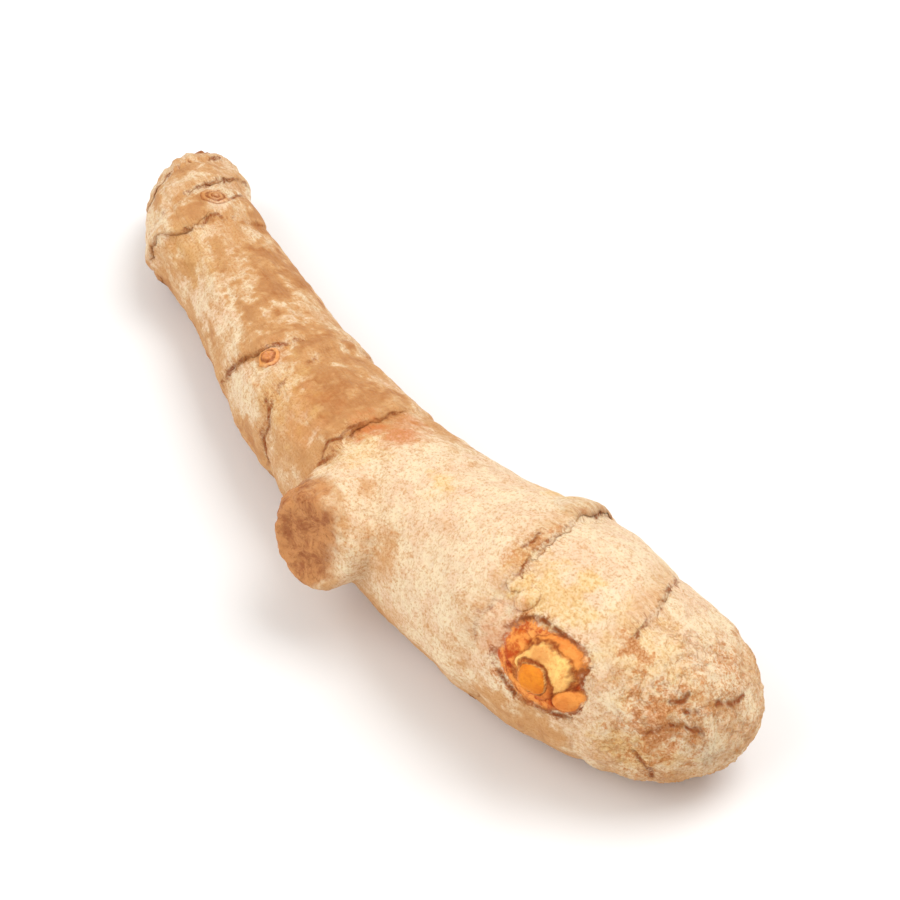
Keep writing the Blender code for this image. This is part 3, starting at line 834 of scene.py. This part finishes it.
# Rims: leaf scar, first and last side; in mm, reach back, lift, tear and bulge.
RIMS = {
    "rim_base": (0, 92, 178, 1.6, 0.06, 0.5, 0.0),
    "rim_base_back": (0, 200, 330, 1.8, 0.10, 0.5, 0.0),
    "rim_second": (1, 18, 112, 1.4, 0.07, 0.6, 0.0),
    "rim_third": (2, 84, 182, 1.9, 0.08, 0.5, 0.0),
    "rim_third_back": (2, 196, 300, 1.8, 0.11, 0.8, 0.0),
    "rim_fourth": (3, 104, 172, 1.5, 0.06, 0.6, 0.0),
    "rim_fourth_back": (3, 230, 350, 2.2, 0.12, 0.8, 0.0),
    "rim_sixth": (5, 52, 112, 1.5, 0.06, 0.3, 0.0),
    "rim_sixth_back": (5, 214, 330, 2.0, 0.12, 0.9, 0.0),
    "rim_seventh": (6, 72, 112, 1.4, 0.07, 0.8, 0.0),
    "rim_seventh_flap": (6, 36, 74, 4.8, 0.26, 0.5, 0.45),
    "rim_seventh_back": (6, 190, 300, 1.8, 0.12, 0.9, 0.0),
    "rim_eighth": (7, 58, 90, 1.2, 0.05, 0.6, 0.0),
}


def sheath_rim(name, scar_number, first, last, back, lift, tear, bulge, seed):
    """A torn papery rim over one leaf scar."""
    scar = LEAF_SCARS[scar_number]
    girth = float(girth_at(scar[0]))
    columns = max(8, round(math.radians(last - first) * girth / SHEATH_STEP))
    bpy.ops.object.select_all(action="DESELECT")
    bpy.ops.mesh.primitive_grid_add(x_subdivisions=columns, y_subdivisions=SHEATH_ROWS, size=2)
    rim = bpy.context.active_object
    rim.name = name
    square = points_of(rim)
    run, out_share = (square[:, 0] + 1) / 2, (square[:, 1] + 1) / 2
    side = first + (last - first) * run
    edge, _ = scar_at(scar, side)
    strip = np.column_stack([run * math.radians(last - first) * girth, out_share * back,
                             np.full(len(run), seed * 5.0)])
    edge_strip = strip * [1, 0, 1]
    torn = tear * (cloudy(edge_strip, 1.6, 3, seed) + 0.3)
    torn += 0.35 * tear * cloudy(edge_strip, 0.5, 2, seed + 1)
    fade = np.sin(np.pi * np.clip(run, 0.0, 1.0)) ** 0.4
    place = edge + (-back * fade * (1 - out_share) + torn * out_share) / FINGER_LENGTH
    rise = (lift + ROOTED) * out_share ** 1.5 * fade - ROOTED
    rise += bulge * np.sin(np.pi * out_share) * fade
    rise += CRUMPLE * cloudy(strip, 0.9, 2, seed + 2) * out_share
    rise -= 0.25 * (1 - ease(fade, 0.0, 0.5))
    places = []
    for place_now, side_now, up in zip(place, side, rise):
        point, _, _, outward = skin_spot(place_now, side_now)
        places.append(point + outward * (up * MM))
    move_points(rim, np.array(places))
    note(rim, "free_edge", out_share)
    grown_from_skin(rim)
    _, _, _, outward = skin_spot(scar[0], (first + last) / 2)
    middle = rim.data.polygons[len(rim.data.polygons) // 2]
    if middle.normal @ outward < 0:
        rim.data.flip_normals()
    finish_with(rim, "SOLIDIFY", thickness=SHEATH_THICK * MM, offset=0.0)
    bpy.ops.object.shade_smooth()
    rim.data.materials.append(cork.material)
    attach(rim, BODY)


for number, (name, values) in enumerate(RIMS.items()):
    sheath_rim(name, *values, seed=FIRST_SEED + SEED_STEP * number)

# ---------------------------------------------------------------- table and light
# The finger lies on a plain white table under broad soft light that comes from
# above, right and a little behind it.
TABLE_SIZE = 4.0
TABLE_WHITE = (0.86, 0.86, 0.86, 1)
TABLE_ROUGHNESS = 0.9
ROOM_WHITE = (1.0, 0.985, 0.96, 1)
ROOM_LIGHT = 0.68
LAMP_AIM = Vector((0, 0, 0.01))
# Lamps: place and size in metres, power in watts.
LAMPS = {
    "key_lamp": ((0.14, 0.36, 0.78), 0.60, 4.9),
    "front_lamp": ((-0.10, -0.66, 0.62), 0.80, 3.9),
}

bpy.ops.mesh.primitive_plane_add(size=TABLE_SIZE, location=(0, 0, 0))
floor = bpy.context.active_object
floor.name = "floor"
white = Finish("white_table")
white.feed(white.surface.inputs["Base Color"], TABLE_WHITE)
white.feed(white.surface.inputs["Roughness"], TABLE_ROUGHNESS)
floor.data.materials.append(white.material)

room = bpy.data.worlds.new("soft_room")
bpy.context.scene.world = room
room.use_nodes = True
room_light = room.node_tree.nodes["Background"]
room_light.inputs["Color"].default_value = ROOM_WHITE
room_light.inputs["Strength"].default_value = ROOM_LIGHT


def soft_lamp(name, place, size, power):
    """Square lamp aimed at the finger."""
    bpy.ops.object.light_add(type="AREA", location=place)
    lamp = bpy.context.active_object
    lamp.name = name
    lamp.data.size = size
    lamp.data.energy = power
    lamp.rotation_euler = (LAMP_AIM - Vector(place)).to_track_quat("-Z", "Y").to_euler()


for name, values in LAMPS.items():
    soft_lamp(name, *values)

# ---------------------------------------------------------------- camera
# A long lens looks down over the thick growing end, from in front and to the right,
# and leaves the finger a little left of the middle of its view.
VIEW_SIDE = math.radians(55.94)
VIEW_RISE = math.radians(43.0)
VIEW_AWAY = 0.3344
VIEW_MIDDLE = Vector((0, 0, 0.009))
AIM_RIGHT = 0.00870
AIM_DOWN = 0.00061
LENS = 138.0
CLOSEST = 0.01
FARTHEST = 20.0

level_back = Vector((math.sin(VIEW_SIDE), -math.cos(VIEW_SIDE), 0))
camera_back = level_back * math.cos(VIEW_RISE) + Vector((0, 0, math.sin(VIEW_RISE)))
camera_right = Vector((math.cos(VIEW_SIDE), math.sin(VIEW_SIDE), 0))
camera_up = camera_back.cross(camera_right)
aim = VIEW_MIDDLE + camera_right * AIM_RIGHT - camera_up * AIM_DOWN
bpy.ops.object.camera_add(location=aim + camera_back * VIEW_AWAY)
camera = bpy.context.active_object
camera.rotation_mode = "QUATERNION"
camera.rotation_quaternion = Matrix((camera_right, camera_up, camera_back)).transposed().to_quaternion()
camera.data.lens = LENS
camera.data.clip_start = CLOSEST
camera.data.clip_end = FARTHEST
bpy.context.scene.camera = camera
bpy.context.scene.view_settings.view_transform = "Standard"
